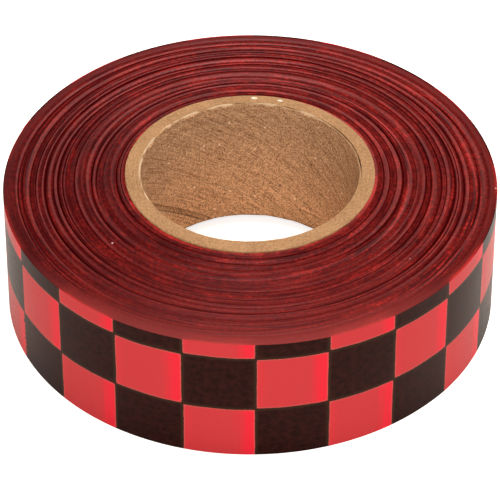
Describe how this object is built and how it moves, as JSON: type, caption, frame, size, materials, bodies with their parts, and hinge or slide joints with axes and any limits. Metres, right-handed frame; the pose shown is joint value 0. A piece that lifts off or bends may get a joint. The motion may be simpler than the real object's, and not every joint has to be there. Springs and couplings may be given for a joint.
{
  "type": "surveyor flagging tape roll",
  "caption": "Roll of glossy red and black checkered vinyl flagging tape on a spiral-wound paper core, with a free end that peels off and a core that pushes out.",
  "frame": {"origin": "on the roll's axis, in the plane that the roll rests on", "axes": "+Z along the roll's axis, upwards out of the end face where the core stands proud; -Y is the front"},
  "size_m": [0.1053, 0.1053, 0.0332],
  "materials": {
    "checkered_film": "gloss red film printed with black checks",
    "film_edges": "satin, packed edges of the red and black film",
    "kraft_board": "matte kraft paperboard"
  },
  "bodies": {
    "outer_wraps": {"outer_wraps": "film_edges"},
    "wraps_7": {"wraps_7": "film_edges"},
    "wraps_6": {"wraps_6": "film_edges"},
    "wraps_5": {"wraps_5": "film_edges"},
    "wraps_4": {"wraps_4": "film_edges"},
    "wraps_3": {"wraps_3": "film_edges"},
    "wraps_2": {"wraps_2": "film_edges"},
    "core": {"inner_wraps": "film_edges", "core_liner": "kraft_board", "core_ply_2": "kraft_board", "core_ply_3": "kraft_board", "core_ply_4": "kraft_board", "core_ply_5": "kraft_board", "core_cover": "kraft_board"},
    "outer_turn": {"outer_turn": "checkered_film"},
    "free_end_01": {"free_end_01": "checkered_film"},
    "free_end_02": {"free_end_02": "checkered_film"},
    "free_end_03": {"free_end_03": "checkered_film"},
    "free_end_04": {"free_end_04": "checkered_film"},
    "free_end_05": {"free_end_05": "checkered_film"},
    "free_end_06": {"free_end_06": "checkered_film"},
    "free_end_07": {"free_end_07": "checkered_film"},
    "free_end_08": {"free_end_08": "checkered_film"},
    "free_end_09": {"free_end_09": "checkered_film"},
    "free_end_10": {"free_end_10": "checkered_film"},
    "free_end_11": {"free_end_11": "checkered_film"},
    "free_end_12": {"free_end_12": "checkered_film"}
  },
  "joints": [
    {"name": "wraps_7_slip", "type": "slide", "parent": "outer_wraps", "child": "wraps_7", "axis": [0, 0, 1], "range_m": [-0.0003, 0.0012]},
    {"name": "wraps_6_slip", "type": "slide", "parent": "wraps_7", "child": "wraps_6", "axis": [0, 0, 1], "range_m": [-0.0003, 0.0012]},
    {"name": "wraps_5_slip", "type": "slide", "parent": "wraps_6", "child": "wraps_5", "axis": [0, 0, 1], "range_m": [-0.0003, 0.0012]},
    {"name": "wraps_4_slip", "type": "slide", "parent": "wraps_5", "child": "wraps_4", "axis": [0, 0, 1], "range_m": [-0.0003, 0.0012]},
    {"name": "wraps_3_slip", "type": "slide", "parent": "wraps_4", "child": "wraps_3", "axis": [0, 0, 1], "range_m": [-0.0003, 0.0012]},
    {"name": "wraps_2_slip", "type": "slide", "parent": "wraps_3", "child": "wraps_2", "axis": [0, 0, 1], "range_m": [-0.0003, 0.0012]},
    {"name": "core_slip", "type": "slide", "parent": "wraps_2", "child": "core", "axis": [0, 0, 1], "range_m": [-0.0003, 0.0012]},
    {"name": "unwind", "type": "hinge", "parent": "outer_wraps", "child": "outer_turn", "pos_m": [0, 0, 0], "axis": [0, 0, -1], "continuous": true},
    {"name": "peel", "type": "hinge", "parent": "outer_turn", "child": "free_end_01", "pos_m": [0.04095, -0.03317, 0.01518], "axis": [0, 0, -1], "range_deg": [0, 16.57]},
    {"name": "uncurl_02", "type": "hinge", "parent": "free_end_01", "child": "free_end_02", "pos_m": [0.04871, -0.02011, 0.01518], "axis": [0, 0, -1], "range_deg": [0, 16.57]},
    {"name": "uncurl_03", "type": "hinge", "parent": "free_end_02", "child": "free_end_03", "pos_m": [0.05242, -0.00538, 0.01518], "axis": [0, 0, -1], "range_deg": [0, 16.57]},
    {"name": "uncurl_04", "type": "hinge", "parent": "free_end_03", "child": "free_end_04", "pos_m": [0.05178, 0.00979, 0.01518], "axis": [0, 0, -1], "range_deg": [0, 16.57]},
    {"name": "uncurl_05", "type": "hinge", "parent": "free_end_04", "child": "free_end_05", "pos_m": [0.04684, 0.02415, 0.01518], "axis": [0, 0, -1], "range_deg": [0, 16.57]},
    {"name": "uncurl_06", "type": "hinge", "parent": "free_end_05", "child": "free_end_06", "pos_m": [0.03801, 0.03651, 0.01518], "axis": [0, 0, -1], "range_deg": [0, 16.57]},
    {"name": "uncurl_07", "type": "hinge", "parent": "free_end_06", "child": "free_end_07", "pos_m": [0.02602, 0.04583, 0.01518], "axis": [0, 0, -1], "range_deg": [0, 16.57]},
    {"name": "uncurl_08", "type": "hinge", "parent": "free_end_07", "child": "free_end_08", "pos_m": [0.01187, 0.05135, 0.01518], "axis": [0, 0, -1], "range_deg": [0, 16.57]},
    {"name": "uncurl_09", "type": "hinge", "parent": "free_end_08", "child": "free_end_09", "pos_m": [-0.00326, 0.0526, 0.01518], "axis": [0, 0, -1], "range_deg": [0, 16.57]},
    {"name": "uncurl_10", "type": "hinge", "parent": "free_end_09", "child": "free_end_10", "pos_m": [-0.01813, 0.04948, 0.01518], "axis": [0, 0, -1], "range_deg": [0, 16.57]},
    {"name": "uncurl_11", "type": "hinge", "parent": "free_end_10", "child": "free_end_11", "pos_m": [-0.03149, 0.04226, 0.01518], "axis": [0, 0, -1], "range_deg": [0, 16.57]},
    {"name": "uncurl_12", "type": "hinge", "parent": "free_end_11", "child": "free_end_12", "pos_m": [-0.04223, 0.03153, 0.01518], "axis": [0, 0, -1], "range_deg": [0, 16.57]}
  ],
  "couplings": [
    {"joint": "wraps_6_slip", "follows": "wraps_7_slip", "ratio": 1},
    {"joint": "wraps_5_slip", "follows": "wraps_7_slip", "ratio": 1},
    {"joint": "wraps_4_slip", "follows": "wraps_7_slip", "ratio": 1},
    {"joint": "wraps_3_slip", "follows": "wraps_7_slip", "ratio": 1},
    {"joint": "wraps_2_slip", "follows": "wraps_7_slip", "ratio": 1},
    {"joint": "core_slip", "follows": "wraps_7_slip", "ratio": 1},
    {"joint": "uncurl_02", "follows": "peel", "ratio": 1},
    {"joint": "uncurl_03", "follows": "peel", "ratio": 1},
    {"joint": "uncurl_04", "follows": "peel", "ratio": 1},
    {"joint": "uncurl_05", "follows": "peel", "ratio": 1},
    {"joint": "uncurl_06", "follows": "peel", "ratio": 1},
    {"joint": "uncurl_07", "follows": "peel", "ratio": 1},
    {"joint": "uncurl_08", "follows": "peel", "ratio": 1},
    {"joint": "uncurl_09", "follows": "peel", "ratio": 1},
    {"joint": "uncurl_10", "follows": "peel", "ratio": 1},
    {"joint": "uncurl_11", "follows": "peel", "ratio": 1},
    {"joint": "uncurl_12", "follows": "peel", "ratio": 1}
  ]
}
